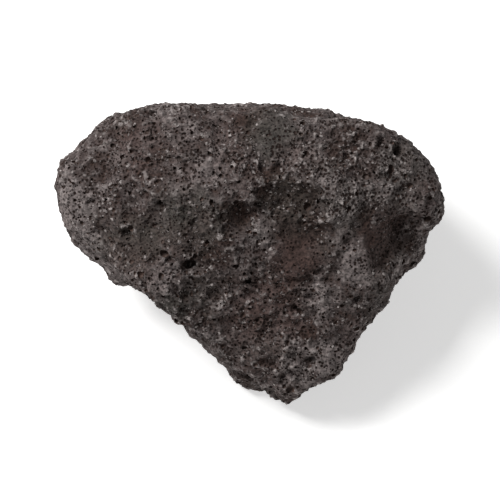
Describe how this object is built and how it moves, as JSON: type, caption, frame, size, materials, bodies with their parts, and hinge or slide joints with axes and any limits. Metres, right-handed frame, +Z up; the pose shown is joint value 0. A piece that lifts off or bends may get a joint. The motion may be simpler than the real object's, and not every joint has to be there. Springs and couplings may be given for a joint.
{
  "type": "lava rock",
  "caption": "Loose lump of dark vesicular lava rock (scoria) with worn broken faces, a broken-out ledge and gas bubble pits; rests on its worn underside.",
  "frame": {"origin": "centre of the bounding box on the ground plane that the stone rests on", "axes": "+Z up from the resting patches, +X along the stone's length from the left tip to the right corner, -Y towards the side that the broad face leans to"},
  "size_m": [0.0694, 0.0542, 0.0381],
  "materials": {
    "scoria": "dry weathered scoria: dull, porous, purplish brown with grey-green patches"
  },
  "bodies": {
    "root": {"lava_rock": "scoria"}
  },
  "joints": []
}
